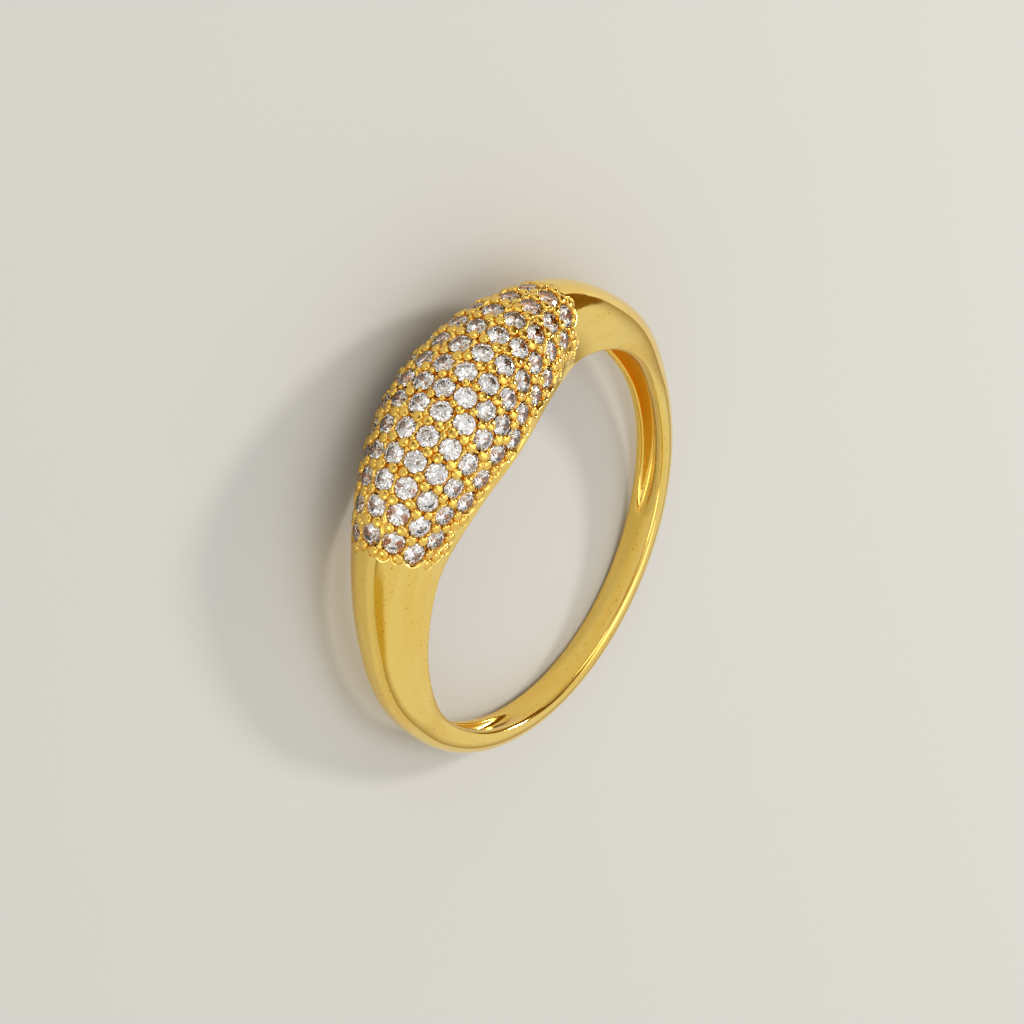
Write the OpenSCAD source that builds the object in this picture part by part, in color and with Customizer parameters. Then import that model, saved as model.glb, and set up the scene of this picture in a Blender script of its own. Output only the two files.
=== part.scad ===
// Pave dome ring: one polished metal band, hollow behind the dome and shoulders,
// and its field of small round stones. The band is drawn about the Z axis with the dome
// toward -Y, then laid on its side as it rests on a table.

/* [Finger hole] */
// Diameter of the finger hole
bore_d = 17.3; // [15:0.1:21]

/* [Band] */
// Width of the dome at its middle
dome_w = 6.1; // [5:0.1:8]
// Height of the dome above the finger
dome_h = 3.8; // [3.4:0.1:5]
// Width of the shank at the back
shank_w = 1.45; // [1.3:0.05:2.5]
// Thickness of the shank at the back
shank_h = 1.1; // [1:0.05:2]
// Soft edge along both rims of the shank
rim_edge = 0.2; // [0.1:0.05:0.3]

/* [Hollow back] */
// Metal left between the hollow and the top of the band
roof_t = 1.1; // [0.9:0.05:1.4]
// Metal left on each side of the hollow in the dome
dome_side_t = 1.15; // [1:0.05:1.3]
// Metal left on each side of the hollow in the shoulders
shoulder_side_t = 0.45; // [0.4:0.05:0.6]
// Metal left under the smooth shoulders and the shank's hollow
shoulder_roof_t = 0.65; // [0.5:0.05:0.8]

/* [Stones] */
// Diameter of each round stone
stone_d = 0.88; // [0.8:0.01:0.9]
// Spacing of the stones along a row, across the band
stone_pitch = 1.15; // [1.12:0.01:1.2]
// How deep a stone's girdle lies below the band's smooth surface
girdle_sink = 0.2; // [0.12:0.01:0.24]
// How deep the metal between the stones lies below the smooth surface
field_sink = 0.3; // [0.2:0.01:0.34]
// Room between a stone and its seat
seat_gap = 0.03; // [0.02:0.01:0.05]
// Largest diameter of the beads of metal between the stones
bead_d = 0.34; // [0.24:0.01:0.38]

/* [Hidden] */

bore_r = bore_d / 2;
// How far the loft reaches inside the finger hole before the hole is cut
inner_margin = 0.4;
edge_past = 0.15;

// Columns of SECTIONS: angle from the dome's middle, share of the dome's extra width,
// share of its extra height
SECTION_ANGLE = 0;
SECTION_WIDTH = 1;
SECTION_HEIGHT = 2;
SECTIONS = [
    [0, 1, 1],
    [20, 0.785, 0.95],
    [40, 0.445, 0.71],
    [60, 0.315, 0.42],
    [80, 0.2, 0.25],
    [100, 0.06, 0.08],
    [130, 0.025, 0.01],
    [180, 0, 0],
];

// Columns of PAVE_ROWS: angle from the dome's middle, number of stones across the band,
// shift of the row along the finger as a share of its pitch
ROW_ANGLE = 0;
ROW_COUNT = 1;
ROW_SHIFT = 2;
PAVE_ROWS = [
    [-33.1, 5, 0.3],
    [-26.9, 7, 0.25],
    [-20.8, 7, 0.15],
    [-15.2, 9, 0.1],
    [-9.8, 9, 0.1],
    [-4.5, 9, 0.15],
    [0.3, 10, 0],
    [4.9, 9, 0.1],
    [10.4, 9, 0.1],
    [15.8, 9, 0.1],
    [21.2, 7, 0.1],
    [26.6, 7, 0.1],
    [32.4, 5, 0.05],
];
// The rows spread toward the rims by this share for each square millimetre from the crest,
// and slant by this many degrees for each millimetre
row_fan = 0.015;
row_slant = 0.24;
// A row closes up where its last stone would come nearer to a rim than this
rim_room = 0.66;
// The pave field ends this far from the dome's middle
field_end = 37.5;
field_step = 1.5;
// A last line of beads stands this far past each end row
end_line = 2.7;
// No bead stands nearer to a rim than this
bead_rim = 0.62;
bead_room = 0.04;
least_bead_r = 0.08;
// How far a bead is rooted below the sunk field, and how far a seat is open above the girdle
bead_root = 0.15;
seat_reach = 0.6;

// Curve powers of a section: across the band and up the band, for the dome and for the shank
dome_across = 2.1;
dome_rise = 2.7;
shank_across = 2.2;
shank_rise = 2.2;

// The hollow is at its full depth up to the first angle and runs out at the second
hollow_full = 112;
hollow_end = 142;

// Steps of the loft round the ring and across a section
field_turn = 5;
smooth_turn = 6;
OUTER_TURNS = [0, 4, 9, 18, 30, 42, 54, 66, 78, 90, 102, 114, 126, 138, 150, 162, 171, 176, 180];
hollow_steps = 8;

// Stone: a round cut with a table, main facets, a thin girdle and a pavilion
stone_sides = 10;
table_share = 0.58;
crown_share = 0.14;
girdle_t = 0.03;
pavilion_share = 0.42;

function clamp01(x) = min(1, max(0, x));
function ramp(x, from, to) = clamp01((x - from) / (to - from));
function soft(t) = t * t * (3 - 2 * t);
function blend(a, b, t) = a + (b - a) * t;
function power(x, p) = x <= 0 ? 0 : pow(x, p);

// Angle from the dome's middle, folded to 0 to 180
function folded(a) = abs(a - 360 * round(a / 360));

// Slope of a section column at row i, zero at both ends
function row_slope(i, col) =
    i == 0 || i == len(SECTIONS) - 1 ? 0
    : (SECTIONS[i + 1][col] - SECTIONS[i - 1][col])
        / (SECTIONS[i + 1][SECTION_ANGLE] - SECTIONS[i - 1][SECTION_ANGLE]);

// Smooth curve through a section column
function section_share(a, col, i = 0) =
    i < len(SECTIONS) - 2 && folded(a) > SECTIONS[i + 1][SECTION_ANGLE]
        ? section_share(a, col, i + 1)
        : let (
            low = SECTIONS[i],
            high = SECTIONS[i + 1],
            span = high[SECTION_ANGLE] - low[SECTION_ANGLE],
            t = (folded(a) - low[SECTION_ANGLE]) / span
        )
        (1 + 2 * t) * pow(1 - t, 2) * low[col]
            + t * pow(1 - t, 2) * span * row_slope(i, col)
            + t * t * (3 - 2 * t) * high[col]
            - t * t * (1 - t) * span * row_slope(i + 1, col);

function band_w(a) = shank_w + (dome_w - shank_w) * section_share(a, SECTION_WIDTH);
function band_h(a) = shank_h + (dome_h - shank_h) * section_share(a, SECTION_HEIGHT);
function edge(a) = blend(0.05, rim_edge, ramp(folded(a), 50, 90));
function power_across(a) = blend(dome_across, shank_across, ramp(folded(a), 40, 80));
function power_rise(a) = blend(dome_rise, shank_rise, ramp(folded(a), 40, 80));

// Point [along the finger, radius] of the smooth outer surface;
// t runs from 0 at one rim to 180 at the other
function outer_uv(a, t) =
    let (c = cos(t), s = sin(t), e = edge(a))
    [
        sign(c) * band_w(a) / 2 * power(abs(c), 2 / power_across(a)),
        bore_r + e + (band_h(a) - e) * power(s, 2 / power_rise(a)),
    ];

function ring_point(a, uv) = [uv[1] * sin(a), -uv[1] * cos(a), uv[0]];
function outer_point(a, t) = ring_point(a, outer_uv(a, t));

// Outward normal of the smooth surface, from small steps along it
probe = 0.5;
function unit(v) = v / norm(v);
function outer_normal(a, t) =
    unit(cross(
        outer_point(a, t + probe) - outer_point(a, t - probe),
        outer_point(a + probe, t) - outer_point(a - probe, t)
    ));

// The pave field is sunk, apart from a narrow lip along both rims
lip_turn = 4;
lip_slope = 5;
function sunk(a, t) =
    folded(a) > field_end + 0.01 ? 0
    : field_sink * ramp(90 - abs(t - 90), lip_turn, lip_turn + lip_slope);
function band_point(a, t) =
    sunk(a, t) > 0 ? outer_point(a, t) - sunk(a, t) * outer_normal(a, t) : outer_point(a, t);

// Hollow behind the dome and shoulders; its floor sinks below the finger hole where the shank is solid
function hollow_w(a) =
    band_w(a) - 2 * blend(dome_side_t, shoulder_side_t, soft(ramp(folded(a), 30, 55)));
function hollow_h(a) =
    let (
        roof = blend(roof_t, shoulder_roof_t, soft(ramp(folded(a), 30, 55))),
        closing = max(0, folded(a) - hollow_full) / (hollow_end - hollow_full)
    )
    max(0.1 - inner_margin, (band_h(a) - roof) * (1 - closing * closing));
function hollow_point(a, t) =
    let (c = cos(t), s = sin(t))
    ring_point(a, [
        -sign(c) * hollow_w(a) / 2 * power(abs(c), 2 / dome_across),
        bore_r - inner_margin + (hollow_h(a) + inner_margin) * power(s, 2 / dome_rise),
    ]);

// One closed outline of the metal at an angle: outer surface, soft edge, hollow, soft edge;
// the soft edges run on past the finger hole's wall, so the cut leaves them clean
function outline(a) =
    let (rim = band_w(a) / 2 - edge(a) - edge_past)
    concat(
        [for (t = OUTER_TURNS) band_point(a, t)],
        [ring_point(a, [-rim, bore_r - edge_past])],
        [for (i = [0 : hollow_steps]) hollow_point(a, 180 * i / hollow_steps)],
        [ring_point(a, [rim, bore_r - edge_past])]
    );

LOFT_ANGLES = concat(
    [for (a = [-field_end : field_turn : field_end]) a],
    [for (a = [field_end + field_step : smooth_turn : 359.9 - field_end - field_step]) a],
    [360 - field_end - field_step]
);

// Triangles that join neighbouring outlines into one closed ring
function joined(rows, size) = [
    for (i = [0 : rows - 1])
        for (j = [0 : size - 1])
            let (
                a = i * size + j,
                b = i * size + (j + 1) % size,
                c = ((i + 1) % rows) * size + (j + 1) % size,
                d = ((i + 1) % rows) * size + j
            )
            each [[a, c, b], [a, d, c]]
];

// The ring lies on the dome's lower side and the back of the shank;
// its tilt comes from a few steps of correction
DOME_SIDE = [for (a = [-30 : 5 : 30]) for (t = [90 : 10 : 180]) outer_point(a, t)];
SHANK_SIDE = [for (a = [150 : 5 : 210]) for (t = [90 : 10 : 180]) outer_point(a, t)];
function lowest(points, lean) = min([for (p = points) p.y * sin(lean) + p.z * cos(lean)]);
function lean_after(steps, lean = 0) =
    steps == 0 ? lean
    : lean_after(
        steps - 1,
        lean - atan((lowest(SHANK_SIDE, lean) - lowest(DOME_SIDE, lean)) / (2 * bore_r))
    );
lean = lean_after(6);

function leant(p) = [p.x, p.y * cos(lean) - p.z * sin(lean), p.y * sin(lean) + p.z * cos(lean)];
OUTSIDE = [
    for (a = LOFT_ANGLES)
        for (t = OUTER_TURNS)
            leant(outer_point(a, t))
];
rest_z = min([for (p = OUTSIDE) p.z]);
middle_y = (min([for (p = OUTSIDE) p.y]) + max([for (p = OUTSIDE) p.y])) / 2;

module laid_on_side() {
    translate([0, -middle_y, -rest_z])
        rotate([lean, 0, 0])
            children();
}

// Section parameter at a given length along the surface from the crest
arc_steps = 60;
arc_turn = 90 / arc_steps;
function arc_table(a) = [
    for (
        i = 0, length = 0;
        i <= arc_steps;
        i = i + 1,
        length = length + norm(outer_uv(a, 90 + arc_turn * i) - outer_uv(a, 90 + arc_turn * (i - 1)))
    )
        [length, arc_turn * i]
];

// A place on the smooth surface, s along a row from the crest: [point, outward normal, angle]
function field_place(a, s, table) =
    let (
        spread = a * (1 + row_fan * s * s) + row_slant * s,
        t = 90 + sign(s) * lookup(abs(s), table)
    )
    [outer_point(spread, t), outer_normal(spread, t), spread];
function half_length(table) = table[arc_steps][0];
function row_pitch(row, table) =
    min(
        stone_pitch,
        (half_length(table) - rim_room) / ((row[ROW_COUNT] - 1) / 2 + row[ROW_SHIFT])
    );
// Middle of the i-th stone along a row; whole numbers from 0 are stones
function along_row(row, table, i) =
    (i - (row[ROW_COUNT] - 1) / 2 + row[ROW_SHIFT]) * row_pitch(row, table);
STONES = [
    for (row = PAVE_ROWS)
        let (table = arc_table(row[ROW_ANGLE]))
        for (i = [0 : row[ROW_COUNT] - 1])
            field_place(row[ROW_ANGLE], along_row(row, table, i), table)
];

// Beads stand in lines between the rows and past the two end rows, two for each stone of the
// longer row, and fill the rows from their last stone to the rim
function bead_at(row, table, i) =
    let (s = along_row(row, table, i))
    abs(s) < half_length(table) - bead_rim ? [field_place(row[ROW_ANGLE], s, table)] : [];
function bead_line(row) =
    let (table = arc_table(row[ROW_ANGLE]))
    [for (i = [-1.25 : 0.5 : row[ROW_COUNT] + 0.25]) each bead_at(row, table, i)];
function row_ends(row) =
    let (table = arc_table(row[ROW_ANGLE]), last = row[ROW_COUNT] - 1)
    [
        for (past = [0.75 : 0.5 : 2.25])
            each concat(bead_at(row, table, -past), bead_at(row, table, last + past))
    ];
function between(low, high) = [
    (low[ROW_ANGLE] + high[ROW_ANGLE]) / 2,
    max(low[ROW_COUNT], high[ROW_COUNT]),
    (low[ROW_SHIFT] + high[ROW_SHIFT]) / 2,
];
last_row = len(PAVE_ROWS) - 1;
BEAD_PLACES = concat(
    bead_line(PAVE_ROWS[0] - [end_line, 0, 0]),
    [for (i = [1 : last_row]) each bead_line(between(PAVE_ROWS[i - 1], PAVE_ROWS[i]))],
    bead_line(PAVE_ROWS[last_row] + [end_line, 0, 0]),
    [for (row = PAVE_ROWS) each row_ends(row)]
);
// Columns: point, outward normal, radius; each is as wide as the stones round it leave room for
BEADS = [
    for (place = BEAD_PLACES)
        let (
            nearest = min([for (stone = STONES) norm(place[0] - stone[0])]),
            r = min(bead_d / 2, nearest - stone_d / 2 - bead_room)
        )
        if (r > least_bead_r && abs(place[2]) < field_end) [place[0], place[1], r]
];

// Turns and moves its child from the origin to a place on the band, sunk below its smooth surface
module at_place(place, sink) {
    n = place[1];
    translate(place[0] - sink * n)
        rotate([0, acos(n.z), atan2(n.y, n.x)])
            children();
}

function ring_of(r, z) = [
    for (i = [0 : stone_sides - 1])
        let (turn = 360 * i / stone_sides)
        [r * cos(turn), r * sin(turn), z]
];
STONE_POINTS = concat(
    ring_of(stone_d / 2 * table_share, crown_share * stone_d + girdle_t / 2),
    ring_of(stone_d / 2, girdle_t / 2),
    ring_of(stone_d / 2, -girdle_t / 2),
    [[0, 0, -pavilion_share * stone_d - girdle_t / 2]]
);
// Faces between one ring of stone corners and the next
function stone_belt(top) = [
    for (i = [0 : stone_sides - 1])
        let (upper = top * stone_sides, lower = upper + stone_sides, next = (i + 1) % stone_sides)
        [upper + i, upper + next, lower + next, lower + i]
];
STONE_FACES = concat(
    [[for (i = [stone_sides - 1 : -1 : 0]) i]],
    stone_belt(0),
    stone_belt(1),
    [
        for (i = [0 : stone_sides - 1])
            [2 * stone_sides + i, 2 * stone_sides + (i + 1) % stone_sides, 3 * stone_sides]
    ]
);

module round_stone() {
    polyhedron(STONE_POINTS, STONE_FACES);
}

// Drilled seat: straight sides for the girdle and a point for the pavilion
module seat() {
    r = stone_d / 2 + seat_gap;
    floor_z = -girdle_t / 2 - seat_gap;
    cone_h = pavilion_share * stone_d + seat_gap;
    translate([0, 0, floor_z])
        cylinder(h = seat_reach, r = r, $fn = stone_sides);
    translate([0, 0, floor_z - cone_h])
        cylinder(h = cone_h, r1 = 0, r2 = r, $fn = stone_sides);
}

module loft() {
    polyhedron(
        [for (a = LOFT_ANGLES) each outline(a)],
        joined(len(LOFT_ANGLES), len(OUTER_TURNS) + hollow_steps + 3)
    );
}

module ring_body() {
    color("gold")
        laid_on_side()
            difference() {
                union() {
                    loft();
                    for (bead = BEADS)
                        at_place(bead, field_sink + bead_root)
                            cylinder(h = field_sink + bead_root, r = bead[2], $fn = 16);
                }
                cylinder(h = dome_w + 2, r = bore_r, center = true, $fn = 96);
                for (stone = STONES)
                    at_place(stone, girdle_sink) seat();
            }
}

module pave_stones() {
    color("white")
        laid_on_side()
            for (stone = STONES)
                at_place(stone, girdle_sink) round_stone();
}

ring_body();
pave_stones();
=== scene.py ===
"""Domed pave ring: its gold band, the beads and stones of its field, and a plain studio round it.

The band is built about the finger's axis in millimetres, with the dome toward -Y,
and then laid on its side in the frame's metres, where the solids lie.
"""

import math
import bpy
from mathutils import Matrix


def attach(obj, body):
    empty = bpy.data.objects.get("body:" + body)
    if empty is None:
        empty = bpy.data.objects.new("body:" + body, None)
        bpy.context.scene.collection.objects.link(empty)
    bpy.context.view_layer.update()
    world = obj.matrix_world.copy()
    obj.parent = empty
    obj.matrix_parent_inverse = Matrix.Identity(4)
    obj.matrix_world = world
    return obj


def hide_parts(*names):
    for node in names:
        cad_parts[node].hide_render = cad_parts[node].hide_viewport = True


bl_info = {
    "name": "Pave Dome Ring",
    "version": (1, 0, 0),
    "blender": (4, 5, 0),
    "location": "3D View > Sidebar > Ring",
    "description": "Builds a polished dome ring with a field of small set stones, and a plain studio",
    "category": "Add Mesh",
}

import bpy
import numpy as np
from bpy.props import FloatProperty, FloatVectorProperty, PointerProperty
from bpy.types import Operator, Panel, PropertyGroup
from mathutils import Matrix, Vector

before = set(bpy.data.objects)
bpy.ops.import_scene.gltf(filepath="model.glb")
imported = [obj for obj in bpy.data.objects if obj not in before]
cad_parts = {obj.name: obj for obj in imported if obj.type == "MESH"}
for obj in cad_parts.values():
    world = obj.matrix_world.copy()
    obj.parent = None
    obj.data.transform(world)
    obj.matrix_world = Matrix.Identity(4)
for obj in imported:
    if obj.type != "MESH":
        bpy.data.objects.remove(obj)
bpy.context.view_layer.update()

MM = 0.001

# How the ring lies: its lean about X in degrees, and the middle of the finger hole in millimetres
LEAN = -7.50125
HOLE_MIDDLE = (0.0, 1.35084, 1.88653)

# Columns: angle from the dome's middle, share of the extra width, share of the extra height
SECTIONS = np.array(
    [
        (0, 1, 1),
        (20, 0.785, 0.95),
        (40, 0.445, 0.71),
        (60, 0.315, 0.42),
        (80, 0.2, 0.25),
        (100, 0.06, 0.08),
        (130, 0.025, 0.01),
        (180, 0, 0),
    ]
)
WIDTH_SHARE = 1
HEIGHT_SHARE = 2

# Powers of the section's curve, across and up
DOME_POWERS = (2.1, 2.7)
SHANK_POWERS = (2.2, 2.2)
# Soft edge of the rims beside the dome, in millimetres
DOME_EDGE = 0.05
# Angles between which these powers, the soft edge and the walls go over to those of the shank
POWER_CHANGE = (40, 80)
EDGE_CHANGE = (50, 90)
WALL_CHANGE = (30, 55)

# Reach of the hollow's loft inside the finger hole, as the solids have it, in millimetres
HOLLOW_MARGIN = 0.4
# Share of the hollow's width over which its points are spread where it has run out
FLAT_SHARE = 0.3

# Points with which a section is measured: from rim to rim, and from crest to rim
WHOLE_POINTS = 1201
HALF_POINTS = 401

# Points of the band's mesh across its outside, round each rim and across its hollow back
OUTSIDE_POINTS = 161
RIM_POINTS = 6
HOLLOW_POINTS = 35

# Columns: angle of a row of stones from the dome's middle, stones in the row, shift of the row
# along the finger as a share of its pitch
STONE_ROWS = (
    (-33.1, 5, 0.3),
    (-26.9, 7, 0.25),
    (-20.8, 7, 0.15),
    (-15.2, 9, 0.1),
    (-9.8, 9, 0.1),
    (-4.5, 9, 0.15),
    (0.3, 10, 0.0),
    (4.9, 9, 0.1),
    (10.4, 9, 0.1),
    (15.8, 9, 0.1),
    (21.2, 7, 0.1),
    (26.6, 7, 0.1),
    (32.4, 5, 0.05),
)
# Spread of a row's angle for each square millimetre from the crest, and its slant for each millimetre
ROW_FAN = 0.015
ROW_SLANT = 0.24
# Degrees from the first and the last row to the lines of beads that stand past them
END_LINES = (2.1, 2.7)
# Pitches from a row's last stones to the row's own beads past them
PAST_STONES = np.array([0.75, 1.25, 1.75, 2.25])

# Steps in millimetres by which the beads look for room, and the degrees in a millimetre of the dome
BEAD_STEPS = (0.08, 0.08, 0.06, 0.06, 0.04, 0.04, 0.03, 0.02)
DEGREES_PER_MM = 4.6
# Least gain in room that a step is worth, and least radius of a bead, in millimetres
LEAST_GAIN = 0.004
LEAST_BEAD = 0.09
# Radius of a bead as a share of the way to the next: over half, so that close beads touch
BEAD_SHARE = 0.54
# Stands for the length to a stone or a bead where none is near, in millimetres
FAR = 9.0

# Softness with which the field's discs join, width of the wall round it, and width of the slope
# from the lip down to it, in millimetres
DISC_SOFTNESS = 0.08
BORDER_WALL = 0.07
LIP_SLOPE = 0.1
# Room round a stone in its seat, in millimetres, and the slope of the seat's cone
SEAT_ROOM = 0.01
SEAT_SLOPE = 0.95

# Painted shade in the hollow back: how strong it is at the hollow's edge, and the depths in millimetres
# between which it grows to full
HOLLOW_EDGE_SHADE = 0.4
HOLLOW_SHADE_DEPTHS = (0.02, 0.4)

# Rings of a bead, from its foot up. Columns: share of its radius, height in millimetres
BEAD_RINGS = ((1.0, -0.5), (1.0, -0.1), (0.9, -0.03), (0.64, 0.004))
BEAD_TOP = 0.012
BEAD_SIDES = 12
# Depths in millimetres between which a bead's gold turns to the painted shade of the field
BEAD_SHADE_DEPTHS = (0.06, 0.2)
# Shares of a bead's radius between which the two widths of its slightly uneven top lie
BEAD_WIDTHS = (0.9, 1.06)
BEAD_SEED = 11

# Cut of the stones: angles of crown and pavilion, and shares of the radius for the girdle's half
# height and for the tips of the table, of the stars and of the lower halves
CROWN_ANGLE = 34
PAVILION_ANGLE = 41
GIRDLE = 0.02
TABLE_TIPS = 0.58
STAR_TIPS = 0.79
LOWER_TIPS = 0.24
STONE_SEED = 7

# Cards of the room. Columns: direction of the card's middle, cosines of its outer and inner edge,
# and its colour, as bright as the room where it is 1
CARDS = (
    ((-0.970, 0.171, 0.174), 0.892, 0.905, (0.27, 0.135, 0.008)),
    ((-0.783, 0.082, 0.616), 0.90, 0.915, (0.20, 0.09, 0.010)),
    ((1.0, 0.12, 0.12), 0.91, 0.97, (0.72, 0.56, 0.16)),
    ((0.30, -0.73, 0.61), 0.96, 0.99, (0.70, 0.66, 0.58)),
    ((-0.45, -0.85, 0.28), 0.955, 0.975, (2.6, 2.56, 2.45)),
    ((0.80, -0.52, 0.30), 0.955, 0.975, (2.6, 2.56, 2.45)),
    ((-0.10, -0.30, 0.95), 0.95, 0.97, (2.2, 2.16, 2.08)),
    ((0.15, -0.97, 0.19), 0.96, 0.985, (0.30, 0.24, 0.15)),
    ((-0.70, -0.35, 0.62), 0.94, 0.97, (0.40, 0.34, 0.24)),
)
# Colours of the room, low down and from a quarter of the way up. Columns: height, colour
ROOM_SHADES = ((0.02, (0.50, 0.40, 0.22)), (0.26, (1.0, 0.985, 0.95)))

# Each light's place, its size and its colour, and the point that both face, in metres
KEY_LIGHT = ((-0.26, 0.12, 0.17), 0.05, (1.0, 0.95, 0.86))
TOP_LIGHT = ((-0.06, 0.06, 0.34), 0.26, (1.0, 0.99, 0.97))
LIT_POINT = (0.0, 0.0, 0.003)
# Half the floor's width, in metres
FLOOR_HALF = 1.5

# The camera in ring millimetres: where it stands, and its right and forward directions
CAMERA_AT = (83.672, -224.421, 142.667)
CAMERA_RIGHT = (-0.51822, 0.31525, 0.79502)
CAMERA_FORWARD = (-0.30149, 0.80257, -0.51477)
# Width of its sensor in millimetres, and the nearest and farthest that it sees, in metres
SENSOR_WIDTH = 36
CLIP_START = 0.01
CLIP_END = 10


# Sizes, colours and lights that a user would change


class RingBandSettings(PropertyGroup):
    """Sizes of the band, in millimetres"""

    bore_d: FloatProperty(
        name="Finger hole", description="Diameter of the finger hole", default=17.3, min=15, max=21
    )
    dome_w: FloatProperty(
        name="Dome width", description="Width of the dome at its middle", default=6.1, min=5, max=8
    )
    dome_h: FloatProperty(name="Dome height", description="Height of the dome above the finger", default=3.8)
    shank_w: FloatProperty(name="Shank width", description="Width of the shank at the back", default=1.45)
    shank_h: FloatProperty(
        name="Shank thickness", description="Thickness of the shank at the back", default=1.1
    )
    rim_edge: FloatProperty(name="Soft edge", description="Soft edge of the shank's two rims", default=0.2)
    roof_t: FloatProperty(name="Dome roof", description="Metal over the hollow in the dome", default=1.1)
    dome_side_t: FloatProperty(
        name="Dome sides", description="Metal beside the hollow in the dome", default=1.15
    )
    shoulder_roof_t: FloatProperty(
        name="Shoulder roof", description="Metal over the hollow in the shoulders and the shank", default=0.65
    )
    shoulder_side_t: FloatProperty(
        name="Shoulder sides", description="Metal beside the hollow there", default=0.45
    )
    hollow_full: FloatProperty(
        name="Full hollow", description="Angle up to which the hollow is full", default=112
    )
    hollow_end: FloatProperty(
        name="Hollow's end", description="Angle at which the hollow runs out", default=142
    )


class PaveFieldSettings(PropertyGroup):
    """Sizes of the stones, their seats and the beads, in millimetres"""

    stone_d: FloatProperty(name="Stone", description="Diameter of each stone", default=0.95, min=0.8, max=1)
    pitch: FloatProperty(name="Pitch", description="Spacing of the stones along a row", default=1.15)
    girdle_sink: FloatProperty(
        name="Girdle depth", description="Depth of a girdle below the surface", default=0.2
    )
    field_sink: FloatProperty(
        name="Field depth", description="Depth of the metal between the stones", default=0.215
    )
    bead_d: FloatProperty(name="Bead", description="Largest diameter of a bead", default=0.5)
    bead_grip: FloatProperty(name="Grip", description="How far a bead reaches over a girdle", default=0.07)
    bead_tilt: FloatProperty(
        name="Bead tilt", description="Usual lean of a bead's top, as a slope", default=0.12
    )
    stone_reach: FloatProperty(
        name="Border", description="Field round the middle of an outer stone", default=0.54
    )
    bead_reach: FloatProperty(
        name="Bead border", description="Field round the middle of an outer bead", default=0.23
    )
    stone_room: FloatProperty(
        name="Stone room", description="Least length from a stone's middle to a rim", default=0.66
    )
    bead_room: FloatProperty(
        name="Bead room", description="Least length from a bead's middle to a rim", default=0.4
    )
    end: FloatProperty(name="Field's end", description="Angle of the last beads at one end", default=36.4)
    far_end: FloatProperty(
        name="Far end", description="Angle of the last beads at the other end", default=37.4
    )
    lip: FloatProperty(name="Lip", description="Smooth lip left along the rims", default=0.2)


class RingFinishSettings(PropertyGroup):
    """Colours and polish of the metal and the stones"""

    gold: FloatVectorProperty(
        name="Gold",
        description="Colour of the plated metal",
        subtype="COLOR",
        size=3,
        default=(0.98, 0.715, 0.195),
    )
    # Second gold, laid on in slow lengthwise streaks: a painted reflection on the polished metal
    gold_streak_sheen: FloatVectorProperty(
        name="Deep gold",
        description="Colour where the plating is thicker",
        subtype="COLOR",
        size=3,
        default=(0.95, 0.64, 0.135),
    )
    # Deeper copy of the gold for the beads: painted shade of the sunk field
    bead: FloatVectorProperty(
        name="Bead gold",
        description="Colour of the beads' tops",
        subtype="COLOR",
        size=3,
        default=(0.97, 0.64, 0.14),
    )
    # Painted shade: darker orange of the gold down between the stones and at the beads' feet
    recess_shade: FloatVectorProperty(
        name="Recess gold",
        description="Colour of the gold down between the stones",
        subtype="COLOR",
        size=3,
        default=(0.60, 0.22, 0.02),
    )
    # Painted shade: deeper orange of the gold in the hollow back, strongest deep inside it
    hollow: FloatVectorProperty(
        name="Hollow gold",
        description="Colour of the gold in the hollow back",
        subtype="COLOR",
        size=3,
        default=(0.94, 0.56, 0.085),
    )
    pit: FloatVectorProperty(
        name="Pits",
        description="Colour of the fine pits in the plating",
        subtype="COLOR",
        size=3,
        default=(0.50, 0.26, 0.055),
    )
    polish: FloatProperty(name="Roughness", description="Roughness of the polished metal", default=0.085)
    stone_ior: FloatProperty(
        name="Stone IOR", description="Index of refraction of the stones", default=2.15
    )


class RingStudioSettings(PropertyGroup):
    """The camera, the floor and the lights"""

    lens: FloatProperty(name="Lens", description="Focal length in millimetres", default=231.62)
    floor: FloatVectorProperty(
        name="Floor",
        description="Colour of the floor",
        subtype="COLOR",
        size=3,
        default=(0.64, 0.64, 0.625),
    )
    key_power: FloatProperty(name="Key light", description="Power of the key light in watts", default=0.45)
    fill_power: FloatProperty(name="Top light", description="Power of the top light in watts", default=0.15)
    sky: FloatProperty(name="Sky", description="Strength of the soft light all round", default=0.76)


# Shape of the band: every function takes and returns whole arrays


def folded(angle):
    """Angle from the dome's middle, without its sign, from 0 to 180."""
    return np.abs(angle - 360 * np.round(angle / 360))


def ramp(x, low, high):
    """0 below low, 1 above high and straight between."""
    return np.clip((x - low) / (high - low), 0, 1)


def soft(t):
    """Smooth step: three t squared less two t cubed."""
    return t * t * (3 - 2 * t)


def blend(a, b, t):
    """a where t is 0, b where t is 1."""
    return a + (b - a) * t


def section_share(angle, column):
    """Smooth cubic through a column of SECTIONS, with the slope of its two neighbours at each row."""
    at = SECTIONS[:, 0]
    value = SECTIONS[:, column]
    slope = np.zeros(len(at))
    slope[1:-1] = (value[2:] - value[:-2]) / (at[2:] - at[:-2])
    x = folded(angle)
    i = np.clip(np.searchsorted(at, x) - 1, 0, len(at) - 2)
    span = at[i + 1] - at[i]
    t = (x - at[i]) / span
    return (
        (1 + 2 * t) * (1 - t) ** 2 * value[i]
        + t * (1 - t) ** 2 * span * slope[i]
        + t * t * (3 - 2 * t) * value[i + 1]
        - t * t * (1 - t) * span * slope[i + 1]
    )


def band_width(band, angle):
    """Width of the band at an angle."""
    return band.shank_w + (band.dome_w - band.shank_w) * section_share(angle, WIDTH_SHARE)


def band_height(band, angle):
    """Height of the band above the finger hole at an angle."""
    return band.shank_h + (band.dome_h - band.shank_h) * section_share(angle, HEIGHT_SHARE)


def soft_edge(band, angle):
    """Size of the soft edge at the rims: fine beside the dome, full at the shank."""
    return blend(DOME_EDGE, band.rim_edge, ramp(folded(angle), *EDGE_CHANGE))


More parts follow.
